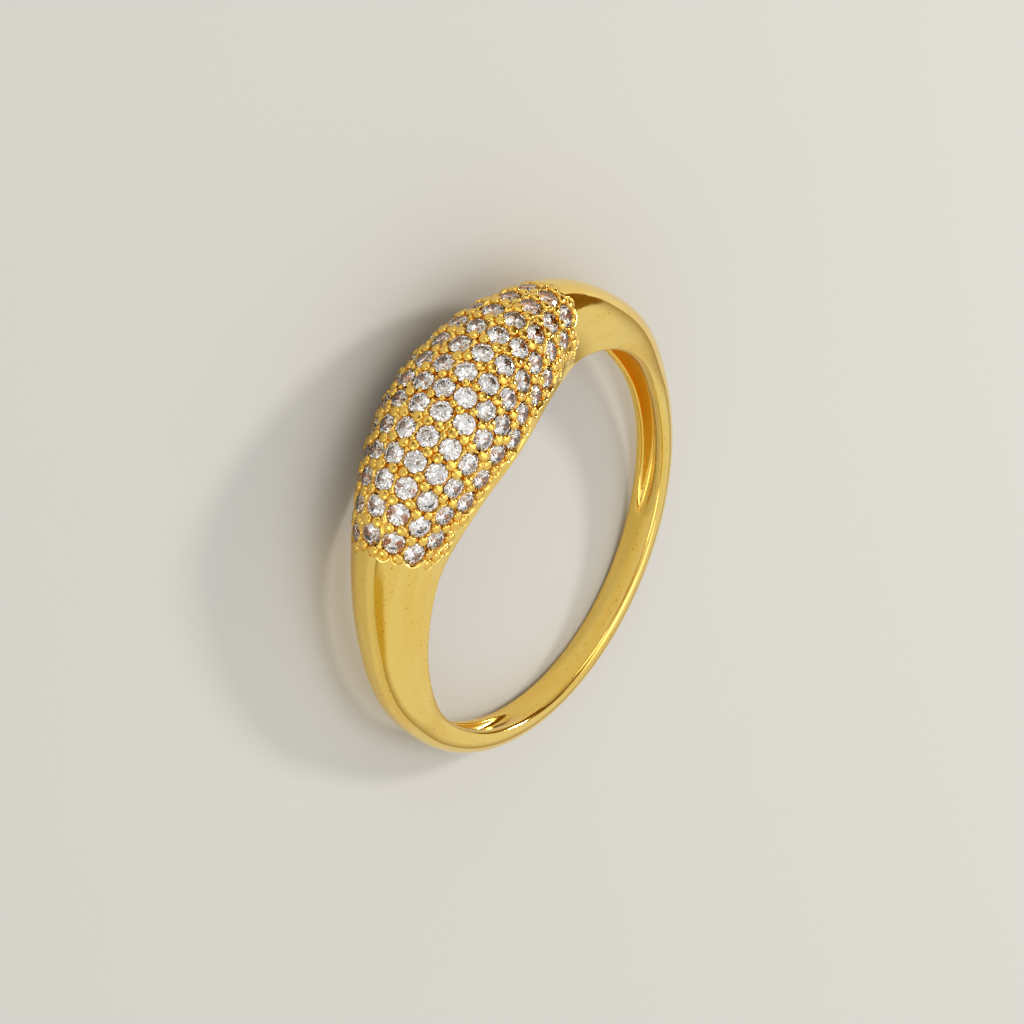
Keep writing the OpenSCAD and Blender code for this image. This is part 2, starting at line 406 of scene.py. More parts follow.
def curve_powers(angle):
    """Powers of the section's curve across and up, from the dome's to the shank's."""
    toward_shank = ramp(folded(angle), *POWER_CHANGE)
    return [blend(dome, shank, toward_shank) for dome, shank in zip(DOME_POWERS, SHANK_POWERS)]


def outer_section(band, angle, turn):
    """Smooth outer surface as along-finger and radius.

    Along is half the width times cos(turn) to 2 over the across power, and the radius rises from
    the soft edge by the height times sin(turn) to 2 over the up power.
    """
    across, up = curve_powers(angle)
    edge = soft_edge(band, angle)
    c = np.cos(np.radians(turn))
    s = np.clip(np.sin(np.radians(turn)), 0, 1)
    along = np.sign(c) * band_width(band, angle) / 2 * np.abs(c) ** (2 / across)
    radius = band.bore_d / 2 + edge + (band_height(band, angle) - edge) * s ** (2 / up)
    return along, radius


def ring_points(angle, along, radius):
    """Points about the finger's axis, with angle 0 toward -Y."""
    a = np.radians(angle)
    return np.stack([radius * np.sin(a), -radius * np.cos(a), along], axis=-1)


def outer_points(band, angle, turn):
    """Points of the smooth outer surface."""
    return ring_points(angle, *outer_section(band, angle, turn))


def outer_normals(band, angle, turn, step=0.3):
    """Outward unit normals, the cross product of small steps along and round the surface."""
    along = outer_points(band, angle, turn + step) - outer_points(band, angle, turn - step)
    round_ring = outer_points(band, angle + step, turn) - outer_points(band, angle - step, turn)
    normal = np.cross(along, round_ring)
    return normal / np.linalg.norm(normal, axis=-1, keepdims=True)


def turns_by_length(band, angle, share):
    """Turns at given shares of a section's length, from one rim at 0 to the other at 1.

    The section is walked in fine steps that crowd toward the rims, and its length is inverted.
    """
    fine = 90 - 90 * np.cos(np.linspace(0, math.pi, WHOLE_POINTS))
    along, radius = outer_section(band, np.full(WHOLE_POINTS, angle), fine)
    length = np.concatenate([[0], np.cumsum(np.hypot(np.diff(along), np.diff(radius)))])
    return np.interp(share * length[-1], length, fine)


def half_section(band, angle):
    """Lengths from the crest to a rim in fine steps of a section, and the turns of those steps.

    Angles may be a column, and then each gets its own row of lengths.
    """
    fine = 90 + 90 * np.sin(np.linspace(0, math.pi / 2, HALF_POINTS))
    along, radius = outer_section(band, np.asarray(angle, dtype=float) + 0 * fine, fine)
    steps = np.hypot(np.diff(along), np.diff(radius))
    return np.concatenate([0 * steps[..., :1], np.cumsum(steps, axis=-1)], axis=-1), fine


def to_frame(points):
    """Ring millimetres to the frame's metres: a lean about X, then a move to the resting place."""
    a = math.radians(LEAN)
    turned = np.stack(
        [
            points[..., 0],
            points[..., 1] * math.cos(a) - points[..., 2] * math.sin(a),
            points[..., 1] * math.sin(a) + points[..., 2] * math.cos(a),
        ],
        axis=-1,
    )
    return (turned + np.array(HOLE_MIDDLE)) * MM


# Places of the stones and the beads


def row_spread(angle, distance):
    """Angle in the field: a row's own, spread with the square of the length and slanted with it."""
    return angle * (1 + ROW_FAN * distance**2) + ROW_SLANT * distance


def field_places(band, angle, distance):
    """Points and normals in the field, at row angles and signed lengths from the crest.

    The turn is read from the section's lengths between the two fine steps round it.
    """
    angle, distance = np.broadcast_arrays(np.asarray(angle, dtype=float), distance)
    length, fine = half_section(band, angle[:, None])
    at = np.clip((length < np.abs(distance)[:, None]).sum(axis=1), 1, len(fine) - 1)
    here = np.arange(len(at))
    low, high = length[here, at - 1], length[here, at]
    turn = blend(fine[at - 1], fine[at], np.clip((np.abs(distance) - low) / (high - low), 0, 1))
    turn = 90 + np.sign(distance) * (turn - 90)
    spread = row_spread(angle, distance)
    return outer_points(band, spread, turn), outer_normals(band, spread, turn)


def along_row(band, field, row, number):
    """Signed lengths from the crest: whole numbers from 0 are stones, halves lie between them.

    The pitch is the field's, or less where the last stone would come too near a rim.
    """
    angle, count, shift = row
    half = half_section(band, angle)[0][-1]
    pitch = min(field.pitch, (half - field.stone_room) / ((count - 1) / 2 + shift))
    distance = (number - (count - 1) / 2 + shift) * pitch
    return distance[np.abs(distance) < half - field.bead_room]


def stone_places(band, field):
    """Points and normals of every stone on the smooth surface."""
    rows = [
        field_places(band, row[0], along_row(band, field, row, np.arange(row[1]))) for row in STONE_ROWS
    ]
    return np.concatenate([row[0] for row in rows]), np.concatenate([row[1] for row in rows])


def bead_sites(band, field):
    """Row angles and lengths from the crest at which the beads are first set out.

    They stand in lines halfway between the rows and a little past the two end rows, two for each
    stone of the longer row, and fill each row from its last stone to the rim.
    """
    first, last = STONE_ROWS[0], STONE_ROWS[-1]
    lines = [(first[0] - END_LINES[0], *first[1:]), (last[0] + END_LINES[1], *last[1:])]
    lines += [
        ((low[0] + high[0]) / 2, max(low[1], high[1]), (low[2] + high[2]) / 2)
        for low, high in zip(STONE_ROWS[:-1], STONE_ROWS[1:])
    ]
    made = [(row[0], along_row(band, field, row, np.arange(-1.25, row[1] + 0.5, 0.5))) for row in lines]
    made += [
        (row[0], along_row(band, field, row, np.concatenate([-PAST_STONES, row[1] - 1 + PAST_STONES])))
        for row in STONE_ROWS
    ]
    angle = np.concatenate([np.full(len(distance), row_angle) for row_angle, distance in made])
    distance = np.concatenate([distance for _, distance in made])
    spread = row_spread(angle, distance)
    inside = (spread < field.end) & (spread > -field.far_end)
    return angle[inside], distance[inside]


def bead_room(field, points, stones, others):
    """Radius each bead could have at a point, clear of the stones but for its grip, and of other beads."""
    stone = np.linalg.norm(points[:, None] - stones[None], axis=-1).min(axis=1)
    apart = np.linalg.norm(points[:, None] - others[None], axis=-1)
    np.fill_diagonal(apart, FAR)
    return np.minimum(stone - field.stone_d / 2 + field.bead_grip, BEAD_SHARE * apart.min(axis=1))


def bead_places(band, field, stones):
    """Points, normals and radii of the beads.

    From its first site each bead moves in small shrinking steps, along or across the rows, to
    where it has more room. Its radius is that room, up to the largest bead.
    """
    angle, distance = bead_sites(band, field)
    half = half_section(band, angle[:, None])[0][:, -1] - field.bead_room
    points, normals = field_places(band, angle, distance)
    room = bead_room(field, points, stones, points)
    for step in BEAD_STEPS:
        for turn, slide in ((1, 0), (-1, 0), (0, 1), (0, -1)):
            new_angle = angle + turn * step * DEGREES_PER_MM
            new_distance = np.clip(distance + slide * step, -half, half)
            new_points, new_normals = field_places(band, new_angle, new_distance)
            new_room = bead_room(field, new_points, stones, points)
            better = (new_room > room + LEAST_GAIN) & (room < field.bead_d / 2)
            angle = np.where(better, new_angle, angle)
            distance = np.where(better, new_distance, distance)
            points = np.where(better[:, None], new_points, points)
            normals = np.where(better[:, None], new_normals, normals)
            room = bead_room(field, points, stones, points)
    kept = room > LEAST_BEAD
    return points[kept], normals[kept], np.minimum(room[kept], field.bead_d / 2)


def sideways(normals):
    """Two unit directions across each normal; the first runs as near along the finger as it can."""
    along = np.array([0.0, 0.0, 1.0])
    first = along - normals * normals[:, 2:3]
    first /= np.linalg.norm(first, axis=1, keepdims=True)
    return first, np.cross(normals, first)


# Meshes


def make_mesh(name, points, faces, smooth, marks=None):
    """Object at the origin with its place in its mesh; faces are arrays of corner numbers.

    Marks are attributes: the field's mark is 1 down in the field between the stones, "inside" is 1 in the
    hollow back, and both are 0 on polished metal. Both carry painted shade and a rougher finish.
    """
    mesh = bpy.data.meshes.new(name)
    mesh.from_pydata(to_frame(points).tolist(), [], [face for group in faces for face in group.tolist()])
    mesh.polygons.foreach_set("use_smooth", np.full(len(mesh.polygons), smooth))
    for mark, values in (marks or {}).items():
        mesh.attributes.new(mark, "FLOAT", "POINT").data.foreach_set("value", values)
    mesh.update()
    piece = bpy.data.objects.new(name, mesh)
    bpy.context.scene.collection.objects.link(piece)
    return piece


def closed_grid_faces(rows, columns):
    """Quads of a grid that closes both ways, with their fronts outwards."""
    i, j = np.meshgrid(np.arange(rows), np.arange(columns), indexing="ij")
    here = (i * columns + j).ravel()
    beside = (i * columns + (j + 1) % columns).ravel()
    above_beside = (((i + 1) % rows) * columns + (j + 1) % columns).ravel()
    above = (((i + 1) % rows) * columns + j).ravel()
    return np.stack([here, beside, above_beside, above], axis=1)


def field_depth(band, field, points):
    """Depth of the cut-down field below the smooth surface.

    The field is the soft union of a disc round each stone and each bead. Inside its scalloped
    border it is sunk evenly, and each stone's seat goes down from there as a cone.
    """
    stones, _ = stone_places(band, field)
    beads, _, _ = bead_places(band, field, stones)
    total = np.zeros(points.shape[:-1])
    nearest = np.full(points.shape[:-1], FAR)
    for stone in stones:
        distance = np.linalg.norm(points - stone, axis=-1)
        total += np.exp(-(distance - field.stone_reach) / DISC_SOFTNESS)
        nearest = np.minimum(nearest, distance)
    for bead in beads:
        total += np.exp(-(np.linalg.norm(points - bead, axis=-1) - field.bead_reach) / DISC_SOFTNESS)
    inside = DISC_SOFTNESS * np.log(np.maximum(total, 1e-9))
    cone = SEAT_SLOPE * np.clip(field.stone_d / 2 + SEAT_ROOM - nearest, 0, None)
    return soft(ramp(inside, 0, BORDER_WALL)) * (field.field_sink + cone)


def rim_fade(band, field, angle, turn):
    """1 in the field, falling to 0 toward the smooth lip, by straight distance from the rim."""
    along, radius = outer_section(band, angle, turn)
    edge, low = outer_section(band, angle, np.where(turn > 90, 180.0, 0.0))
    return soft(ramp(np.hypot(along - edge, radius - low), field.lip, field.lip + LIP_SLOPE))


def band_angles(band):
    """Angles of the sections: close together in the field and at the hollow's ends, wider elsewhere."""
    field_past, hollow_near, hollow_past = 46, band.hollow_end - 14, band.hollow_end + 1
    one_side = np.concatenate(
        [
            np.linspace(0, field_past, 167, endpoint=False),
            np.linspace(field_past, hollow_near, 26, endpoint=False),
            np.linspace(hollow_near, hollow_past, 14, endpoint=False),
            np.linspace(hollow_past, 180, 10, endpoint=False),
        ]
    )
    return np.concatenate([one_side, [180], 360 - one_side[:0:-1]])


def hollow_section(band, angle, steps):
    """Back of the band, from one opening edge to the other, as along-finger and radius.

    The hollow has the same kind of curve as the outside of the dome. It starts inside the finger
    hole's wall, so only what lies outside the wall is kept; where it has run out, its points lie flat.
    """
    across, up = DOME_POWERS
    toward_shoulder = soft(ramp(folded(angle), *WALL_CHANGE))
    width = band_width(band, angle) - 2 * blend(band.dome_side_t, band.shoulder_side_t, toward_shoulder)
    full = band_height(band, angle) - blend(band.roof_t, band.shoulder_roof_t, toward_shoulder)
    past = np.clip((folded(angle) - band.hollow_full) / (band.hollow_end - band.hollow_full), 0, None)
    depth = full * (1 - past**2)
    open_here = (depth > 0)[:, None]
    depth = np.clip(depth, 0, None)
    start = np.degrees(np.arcsin(np.clip(HOLLOW_MARGIN / (depth + HOLLOW_MARGIN), 0, 1) ** (up / 2)))
    turn = start[:, None] + (180 - 2 * start[:, None]) * np.linspace(0, 1, steps)
    c = np.cos(np.radians(turn))
    s = np.clip(np.sin(np.radians(turn)), 0, 1)
    along = -np.sign(c) * width[:, None] / 2 * np.abs(c) ** (2 / across)
    radius = band.bore_d / 2 - HOLLOW_MARGIN + (depth[:, None] + HOLLOW_MARGIN) * s ** (2 / up)
    flat = np.linspace(-1, 1, steps) * FLAT_SHARE * width[:, None] / 2
    along = np.where(open_here, along, flat)
    radius = np.where(open_here, np.maximum(radius, band.bore_d / 2), band.bore_d / 2)
    return along, radius


def rim_section(band, angle, side, steps):
    """Rounded edge from the outer surface to the finger hole's wall, a quarter of a circle."""
    edge = soft_edge(band, angle)[:, None]
    turn = np.linspace(0, 1, steps + 1)[1:] * math.pi / 2
    along = side * (band_width(band, angle)[:, None] / 2 - edge * (1 - np.cos(turn)))
    radius = band.bore_d / 2 + edge * (1 - np.sin(turn))
    return along, radius


def build_band(band, field):
    """The whole metal body as one closed surface: outside, rims and hollow back."""
    angle = band_angles(band)
    share = np.linspace(0, 1, OUTSIDE_POINTS)
    turn = np.stack([turns_by_length(band, a, share) for a in angle])
    wide = np.repeat(angle[:, None], OUTSIDE_POINTS, axis=1)
    points = outer_points(band, wide, turn)
    inner = turn.copy()
    inner[:, 0] = turn[:, 1]
    inner[:, -1] = turn[:, -2]
    depth = field_depth(band, field, points) * rim_fade(band, field, wide, turn)
    outside = points - depth[..., None] * outer_normals(band, wide, inner)
    column = angle[:, None]
    low_rim = ring_points(column, *rim_section(band, angle, -1, RIM_POINTS))
    hollow_along, hollow_radius = hollow_section(band, angle, HOLLOW_POINTS)
    back = ring_points(column, hollow_along, hollow_radius)
    high_rim = ring_points(column, *rim_section(band, angle, 1, RIM_POINTS))[:, ::-1]
    loops = np.concatenate([outside, low_rim, back, high_rim], axis=1)
    rows, columns = loops.shape[:2]
    # Painted shade: share of the darker orange, growing with the field's depth down between the stones
    sunk_shade_and_matt = np.zeros((rows, columns))
    sunk_shade_and_matt[:, :OUTSIDE_POINTS] = np.clip(depth / field.field_sink, 0, 1)
    # Painted shade in the hollow back, growing with the depth into it and fading where the hollow runs out
    inside = np.zeros((rows, columns))
    hollow = slice(OUTSIDE_POINTS + RIM_POINTS, columns - RIM_POINTS)
    fade = 1 - ramp(folded(column), band.hollow_full, band.hollow_end)
    hollow_shade = ramp(hollow_radius - band.bore_d / 2, *HOLLOW_SHADE_DEPTHS)
    inside[:, hollow] = fade * blend(HOLLOW_EDGE_SHADE, 1, hollow_shade)
    marks = {"sunk_shade_and_matt": sunk_shade_and_matt.ravel(), "inside": inside.ravel()}
    return loops.reshape(-1, 3), [closed_grid_faces(rows, columns)], marks


def stamp(profile_points, profile_faces, places, normals, scales, turns):
    """Copies of one small shape: each point is its place, plus its sideways parts and its height.

    Scales hold one column for each of the two sideways directions.
    """
    first, second = sideways(normals)
    c = np.cos(turns)[:, None]
    s = np.sin(turns)[:, None]
    across = c * first + s * second
    beside = c * second - s * first
    points = (
        places[:, None]
        + scales[:, None, 0:1] * profile_points[None, :, 0:1] * across[:, None]
        + scales[:, None, 1:2] * profile_points[None, :, 1:2] * beside[:, None]
        + profile_points[None, :, 2:3] * normals[:, None]
    )
    shift = np.arange(len(places))[:, None, None] * len(profile_points)
    faces = [(group[None] + shift).reshape(-1, group.shape[1]) for group in profile_faces]
    return points.reshape(-1, 3), faces


def circle_points(turn, radius, height):
    """Points at the given turns of a circle, all at one height."""
    return np.stack([radius * np.cos(turn), radius * np.sin(turn), np.full(len(turn), height)], axis=1)


def bead_shape():
    """Unit bead: a straight post with a rounded, slightly flattened top, heights in millimetres."""
    turn = np.arange(BEAD_SIDES) * 2 * math.pi / BEAD_SIDES
    points = [circle_points(turn, radius, height) for radius, height in BEAD_RINGS]
    points.append(np.array([[0, 0, BEAD_TOP], [0, 0, BEAD_RINGS[0][1]]]))
    i = np.arange(BEAD_SIDES)
    j = (i + 1) % BEAD_SIDES
    starts = [number * BEAD_SIDES for number in range(len(BEAD_RINGS))]
    quads = [
        np.stack([low + i, low + j, high + j, high + i], axis=1) for low, high in zip(starts[:-1], starts[1:])
    ]
    top = len(BEAD_RINGS) * BEAD_SIDES
    cap = np.stack([starts[-1] + i, starts[-1] + j, np.full(BEAD_SIDES, top)], axis=1)
    base = np.stack([j, i, np.full(BEAD_SIDES, top + 1)], axis=1)
    return np.concatenate(points), [np.concatenate(quads), np.concatenate([cap, base])]


def brilliant_shape(diameter):
    """Round brilliant in millimetres, its girdle at height 0.

    Kites lie on planes at the crown and pavilion angles through the girdle's eight tips, so each is
    flat; stars, upper and lower halves close the gaps between them.
    """
    crown = math.tan(math.radians(CROWN_ANGLE))
    pavilion = math.tan(math.radians(PAVILION_ANGLE))
    between = math.cos(math.pi / 8)
    tip = np.arange(8) * math.pi / 4
    mid = tip + math.pi / 8
    rim = np.arange(16) * math.pi / 8
    points = np.concatenate(
        [
            circle_points(tip, TABLE_TIPS, (1 - TABLE_TIPS) * crown + GIRDLE),
            circle_points(mid, STAR_TIPS, (1 - STAR_TIPS * between) * crown + GIRDLE),
            circle_points(rim, 1, GIRDLE),
            circle_points(rim, 1, -GIRDLE),
            circle_points(mid, LOWER_TIPS, -(1 - LOWER_TIPS * between) * pavilion - GIRDLE),
            [[0, 0, -pavilion - GIRDLE]],
        ]
    )
    # First point of each circle after the table's, and the point at the bottom
    star, upper, under, lower, culet = 8, 16, 32, 48, 56
    i = np.arange(8)
    j = (i + 1) % 8
    before = (i - 1) % 8
    k = np.arange(16)
    after = (k + 1) % 16
    kites = [
        (i, star + before, upper + 2 * i, star + i),
        (np.full(8, culet), lower + i, under + 2 * i, lower + before),
        (upper + k, under + k, under + after, upper + after),
    ]
    triangles = [
        (i, star + i, j),
        (star + i, upper + 2 * i, upper + 2 * i + 1),
        (star + i, upper + 2 * i + 1, upper + 2 * j),
        (lower + i, under + 2 * i + 1, under + 2 * i),
        (lower + i, under + 2 * j, under + 2 * i + 1),
    ]
    faces = [np.concatenate([np.stack(corners, axis=1) for corners in kind]) for kind in (kites, triangles)]
    return diameter / 2 * points, [i[None], *faces]


# Materials


def set_inputs(tree, node, inputs):
    """Give each named input its value, or a link where the value is another node's output."""
    for name, value in inputs.items():
        if isinstance(value, bpy.types.NodeSocket):
            tree.links.new(value, node.inputs[name])
        else:
            node.inputs[name].default_value = value


def add_node(tree, kind, inputs, **settings):
    """New node of a kind: its settings come first, because they choose its inputs."""
    node = tree.nodes.new(kind)
    for name, value in settings.items():
        setattr(node, name, value)
    set_inputs(tree, node, inputs)
    return node


def add_math(tree, operation, *values):
    """Result of one step of arithmetic."""
    node = add_node(tree, "ShaderNodeMath", dict(enumerate(values)), operation=operation)
    return node.outputs["Value"]


def add_vector_math(tree, operation, *vectors):
    """Vector that one step of vector arithmetic gives."""
    node = add_node(tree, "ShaderNodeVectorMath", dict(enumerate(vectors)), operation=operation)
    return node.outputs["Vector"]


def add_range(tree, value, low, high, least=0.0):
    """Result that runs from least where the value is low to 1 where it is high, and stays within."""
    inputs = {"Value": value, "From Min": low, "From Max": high, "To Min": least}
    return add_node(tree, "ShaderNodeMapRange", inputs).outputs["Result"]


def mix_colours(tree, share, a, b):
    """Colour a where the share is 0, b where it is 1."""
    node = add_node(tree, "ShaderNodeMix", {"Factor": share, "A": a, "B": b}, data_type="RGBA")
    return node.outputs["Result"]


def new_material(name):
    """Node material, its node tree and its Principled shader."""
    material = bpy.data.materials.new(name)
    material.use_nodes = True
    tree = material.node_tree
    return material, tree, tree.nodes["Principled BSDF"]


def hand_polish_group():
    """Node group of a hand polished metal.

    It puts out a slow mask of lengthwise streaks, which paint a reflection in a second gold, a mask of
    fine pits, small roughness changes from polishing lines, and a height of those lines and pits. The
    streaks and the lines are noise on a place that changes fully across the band but only a little round
    it: the radius, the height along the finger, and the direction from the hole's middle times a short
    length. The pits are the middles of some small cells, and there are more in the streaks.
    """
    group = bpy.data.node_groups.new("Hand polish", "ShaderNodeTree")
    for name, value in (
        ("Cloud Scale", 1300.0),
        ("Line Scale", 5200.0),
        ("Pit Scale", 5000.0),
        ("Roughness", 0.14),
        ("Spread", 0.08),
    ):
        socket = group.interface.new_socket(name, in_out="INPUT", socket_type="NodeSocketFloat")
        socket.default_value = value
    for name in ("Clouds", "Pits", "Roughness", "Height"):
        group.interface.new_socket(name, in_out="OUTPUT", socket_type="NodeSocketFloat")
    given = add_node(group, "NodeGroupInput", {})
    place = add_node(group, "ShaderNodeTexCoord", {}).outputs["Object"]

    hole = {"Location": [value * MM for value in HOLE_MIDDLE], "Rotation": (math.radians(LEAN), 0, 0)}
    upright = add_node(group, "ShaderNodeMapping", {"Vector": place, **hole}, vector_type="TEXTURE")
    upright = upright.outputs["Vector"]
    flat = add_vector_math(group, "MULTIPLY", upright, (1, 1, 0))
    radius = add_node(group, "ShaderNodeVectorMath", {0: flat}, operation="LENGTH").outputs["Value"]
    direction = {0: add_vector_math(group, "NORMALIZE", flat), "Scale": 1.2 * MM}
    short = add_node(group, "ShaderNodeVectorMath", direction, operation="SCALE").outputs["Vector"]
    along = add_node(group, "ShaderNodeSeparateXYZ", {"Vector": upright}).outputs["Z"]
    across = add_node(group, "ShaderNodeCombineXYZ", {"X": radius, "Z": along}).outputs["Vector"]
    drawn = add_vector_math(group, "ADD", short, across)

    # Painted reflection: slow lengthwise streaks where the second gold shows
    slow = {"Vector": drawn, "Scale": given.outputs["Cloud Scale"], "Detail": 2}
    streak_sheen = add_range(group, add_node(group, "ShaderNodeTexNoise", slow).outputs["Fac"], 0.42, 0.66)
    fine = {"Vector": drawn, "Scale": given.outputs["Line Scale"], "Detail": 3}
    lines = add_node(group, "ShaderNodeTexNoise", fine).outputs["Fac"]

    cells = add_node(group, "ShaderNodeTexVoronoi", {"Vector": place, "Scale": given.outputs["Pit Scale"]})
    middle = add_range(group, cells.outputs["Distance"], 0.25, 0.1)
    cell = add_node(group, "ShaderNodeSeparateColor", {"Color": cells.outputs["Color"]})
    some = add_range(group, cell.outputs["Red"], 0.4, 0.75)
    crowd = add_range(group, streak_sheen, 0.0, 0.6, least=0.15)
    pits = add_math(group, "MULTIPLY", add_math(group, "MULTIPLY", middle, some), crowd)

    centred = add_math(group, "SUBTRACT", lines, 0.5)
    rough = add_math(group, "MULTIPLY_ADD", centred, given.outputs["Spread"], given.outputs["Roughness"])
    height = add_math(group, "SUBTRACT", lines, pits)
    results = {"Clouds": streak_sheen, "Pits": pits, "Roughness": rough, "Height": height}
    add_node(group, "NodeGroupOutput", results)
    return group


def gold_material(name, finish, thin, streak_sheen, roughness, bump):
    """Plated gold: two close golds over the slow mask of painted reflection streaks, painted shade in the
    field and the hollow, and pits.

    The field and the hollow are also less polished.
    """
    material, tree, shader = new_material(name)
    group = bpy.data.node_groups.get("Hand polish") or hand_polish_group()
    polish = add_node(tree, "ShaderNodeGroup", {"Roughness": roughness}, node_tree=group)
    # Painted reflection: the second gold in the slow streaks
    colour = mix_colours(tree, polish.outputs["Clouds"], (*thin, 1), (*streak_sheen, 1))
    rough = polish.outputs["Roughness"]
    # Painted shade: the darker orange and the hollow's gold darken the metal down in the field and in the
    # hollow back; both are also rougher
    for mark, shade_colour, rougher in (("sunk_shade_and_matt", finish.recess_shade, 0.06), ("inside", finish.hollow, 0.15)):
        marked = add_node(tree, "ShaderNodeAttribute", {}, attribute_name=mark).outputs["Fac"]
        colour = mix_colours(tree, marked, colour, (*shade_colour, 1))
        rough = add_math(tree, "MULTIPLY_ADD", marked, rougher, rough)
    colour = mix_colours(tree, polish.outputs["Pits"], colour, (*finish.pit, 1))
    dimples = {"Height": polish.outputs["Height"], "Strength": bump, "Distance": 0.01 * MM}
    normal = add_node(tree, "ShaderNodeBump", dimples).outputs["Normal"]
    set_inputs(tree, shader, {"Base Color": colour, "Roughness": rough, "Normal": normal, "Metallic": 1})
    return material


def stone_material(finish):
    """Clear cut stone: plain glass with a high index of refraction."""
    material, tree, shader = new_material("clear_stone")
    glass = {"Base Color": (0.98, 0.98, 1.0, 1), "Roughness": 0.0, "Transmission Weight": 1.0}
    set_inputs(tree, shader, {**glass, "IOR": finish.stone_ior})
    return material


def floor_material(studio):
    """Matt pale surface."""
    material, tree, shader = new_material("pale_floor")
    set_inputs(tree, shader, {"Base Color": (*studio.floor, 1), "Roughness": 0.8})
    return material


# Operators


class MESH_OT_ring_band(Operator):
    """Make the gold band with its sunk, drilled field and its hollow back"""

    bl_idname = "mesh.ring_band"
    bl_label = "Gold Band"

    def execute(self, context):
        scene = context.scene
        band, field, finish = scene.ring_band, scene.pave_field, scene.ring_finish
        points, faces, marks = build_band(band, field)
        piece = make_mesh("gold_band", points, faces, True, marks)
        gold = gold_material("polished_gold", finish, finish.gold, finish.gold_streak_sheen, finish.polish, bump=0.25)
        piece.data.materials.append(gold)
        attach(piece, "root")
        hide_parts("ring_body")
        return {"FINISHED"}


class MESH_OT_ring_beads(Operator):
    """Make the beads of metal that hold the stones"""

    bl_idname = "mesh.ring_beads"
    bl_label = "Setting Beads"

    def execute(self, context):
        scene = context.scene
        band, field, finish = scene.ring_band, scene.pave_field, scene.ring_finish
        stones, _ = stone_places(band, field)
        places, normals, radii = bead_places(band, field, stones)
        shape, shape_faces = bead_shape()
        hand = np.random.default_rng(BEAD_SEED)
        first, second = sideways(normals)
        tilt = hand.normal(0, field.bead_tilt, (len(places), 2))
        normals = normals + tilt[:, 0:1] * first + tilt[:, 1:2] * second
        normals /= np.linalg.norm(normals, axis=1, keepdims=True)
        scales = radii[:, None] * hand.uniform(*BEAD_WIDTHS, (len(places), 2))
        turns = hand.uniform(0, math.pi, len(places))
        points, faces = stamp(shape, shape_faces, places, normals, scales, turns)
        # Painted shade at each bead's foot, where it goes down into the field
        sunk_shade_and_matt = np.tile(ramp(-shape[:, 2], *BEAD_SHADE_DEPTHS), len(places))
        piece = make_mesh("setting_beads", points, faces, True, {"sunk_shade_and_matt": sunk_shade_and_matt})
        # The beads' gold is a deeper copy of the band's, a painted shade of the sunk field
        gold = gold_material("bead_gold", finish, finish.bead, finish.bead, roughness=0.12, bump=0.05)
        piece.data.materials.append(gold)
        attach(piece, "root")
        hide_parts("ring_body")
        return {"FINISHED"}


class MESH_OT_ring_stones(Operator):
    """Make the round brilliants of the field"""

    bl_idname = "mesh.ring_stones"
    bl_label = "Stones"

    def execute(self, context):
        scene = context.scene
        band, field, finish = scene.ring_band, scene.pave_field, scene.ring_finish
        places, normals = stone_places(band, field)
        shape, shape_faces = brilliant_shape(field.stone_d)
        turns = np.random.default_rng(STONE_SEED).uniform(0, math.pi / 4, len(places))
        sunk = places - field.girdle_sink * normals
        points, faces = stamp(shape, shape_faces, sunk, normals, np.ones((len(places), 2)), turns)
        piece = make_mesh("cut_stones", points, faces, False)
        piece.data.materials.append(stone_material(finish))
        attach(piece, "root")
        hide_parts("pave_stones")
        return {"FINISHED"}


def area_light(name, power, place, size, colour):
    """Soft square light at a place, facing the lit point."""
    light = bpy.data.lights.new(name, "AREA")
    light.size = size
    light.energy = power
    light.color = colour
    lamp = bpy.data.objects.new(name, light)
    lamp.location = place
    aim = Vector(LIT_POINT) - Vector(place)
    lamp.rotation_euler = aim.to_track_quat("-Z", "Y").to_euler()
    bpy.context.scene.collection.objects.link(lamp)


def soft_room(studio):
    """World of a bright room: a little darker low down, with soft-edged cards of other colours."""
    world = bpy.data.worlds.new("soft_room")
    world.use_nodes = True
    tree = world.node_tree
    facing = add_node(tree, "ShaderNodeTexCoord", {}).outputs["Generated"]
    height = add_node(tree, "ShaderNodeSeparateXYZ", {"Vector": facing}).outputs["Z"]
    shade = add_node(tree, "ShaderNodeValToRGB", {"Fac": height})
    for stop, (position, colour) in zip(shade.color_ramp.elements, ROOM_SHADES):
        stop.position = position
        stop.color = (*colour, 1)
    light = shade.outputs["Color"]
    for direction, outer, inner, colour in CARDS:
        pair = {0: facing, 1: Vector(direction).normalized()}
        cosine = add_node(tree, "ShaderNodeVectorMath", pair, operation="DOT_PRODUCT").outputs["Value"]
        edge = {"Value": cosine, "From Min": outer, "From Max": inner}
        share = add_node(tree, "ShaderNodeMapRange", edge, interpolation_type="SMOOTHSTEP")
        light = mix_colours(tree, share.outputs["Result"], light, (*colour, 1))
    set_inputs(tree, tree.nodes["Background"], {"Color": light, "Strength": studio.sky})
    return world


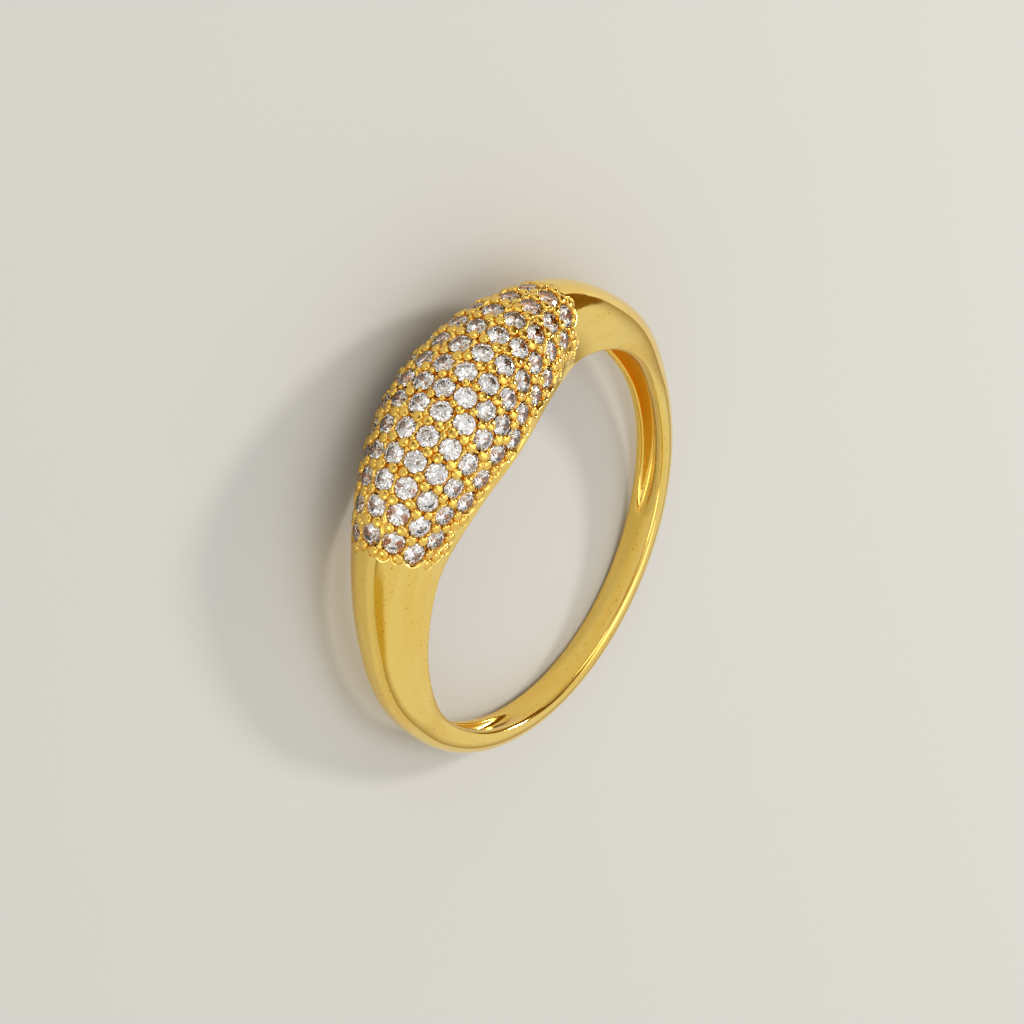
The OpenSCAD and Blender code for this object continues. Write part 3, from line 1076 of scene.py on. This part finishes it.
class SCENE_OT_ring_studio(Operator):
    """Make the floor, the lights and the camera"""

    bl_idname = "scene.ring_studio"
    bl_label = "Studio"

    def execute(self, context):
        scene = context.scene
        studio = scene.ring_studio
        floor_mesh = bpy.data.meshes.new("floor")
        corners = [
            (-FLOOR_HALF, -FLOOR_HALF, 0),
            (FLOOR_HALF, -FLOOR_HALF, 0),
            (FLOOR_HALF, FLOOR_HALF, 0),
            (-FLOOR_HALF, FLOOR_HALF, 0),
        ]
        floor_mesh.from_pydata(corners, [], [(0, 1, 2, 3)])
        floor = bpy.data.objects.new("floor", floor_mesh)
        scene.collection.objects.link(floor)
        floor_mesh.materials.append(floor_material(studio))

        area_light("key", studio.key_power, *KEY_LIGHT)
        area_light("top", studio.fill_power, *TOP_LIGHT)

        scene.world = soft_room(studio)
        scene.view_settings.view_transform = "Standard"

        lean = Matrix.Rotation(math.radians(LEAN), 3, "X")
        right = lean @ Vector(CAMERA_RIGHT).normalized()
        back = -(lean @ Vector(CAMERA_FORWARD).normalized())
        up = back.cross(right).normalized()
        right = up.cross(back)
        turn = Matrix((right, up, back)).transposed().to_4x4()
        at = (lean @ Vector(CAMERA_AT) + Vector(HOLE_MIDDLE)) * MM
        lens = bpy.data.cameras.new("camera")
        lens.lens = studio.lens
        lens.sensor_width = SENSOR_WIDTH
        lens.clip_start = CLIP_START
        lens.clip_end = CLIP_END
        camera = bpy.data.objects.new("camera", lens)
        camera.matrix_world = Matrix.Translation(at) @ turn
        scene.collection.objects.link(camera)
        scene.camera = camera
        return {"FINISHED"}


class VIEW3D_PT_ring(Panel):
    """Buttons and sizes of the ring"""

    bl_label = "Ring"
    bl_space_type = "VIEW_3D"
    bl_region_type = "UI"
    bl_category = "Ring"

    def draw(self, context):
        layout = self.layout
        scene = context.scene
        for settings in (scene.ring_band, scene.pave_field, scene.ring_finish, scene.ring_studio):
            box = layout.box()
            for name in settings.__annotations__:
                box.prop(settings, name)
        for operator in OPERATORS:
            layout.operator(operator.bl_idname)


OPERATORS = (MESH_OT_ring_band, MESH_OT_ring_beads, MESH_OT_ring_stones, SCENE_OT_ring_studio)
GROUPS = (
    ("ring_band", RingBandSettings),
    ("pave_field", PaveFieldSettings),
    ("ring_finish", RingFinishSettings),
    ("ring_studio", RingStudioSettings),
)


def register():
    """Register the settings on the scene, the operators and the panel."""
    for name, group in GROUPS:
        bpy.utils.register_class(group)
        setattr(bpy.types.Scene, name, PointerProperty(type=group))
    for cls in (*OPERATORS, VIEW3D_PT_ring):
        bpy.utils.register_class(cls)


def unregister():
    """Take them all away again."""
    for cls in (VIEW3D_PT_ring, *reversed(OPERATORS)):
        bpy.utils.unregister_class(cls)
    for name, group in reversed(GROUPS):
        delattr(bpy.types.Scene, name)
        bpy.utils.unregister_class(group)


def main():
    """Make the ring and its studio."""
    register()
    bpy.ops.mesh.ring_band()
    bpy.ops.mesh.ring_beads()
    bpy.ops.mesh.ring_stones()
    bpy.ops.scene.ring_studio()


if __name__ == "__main__":
    main()
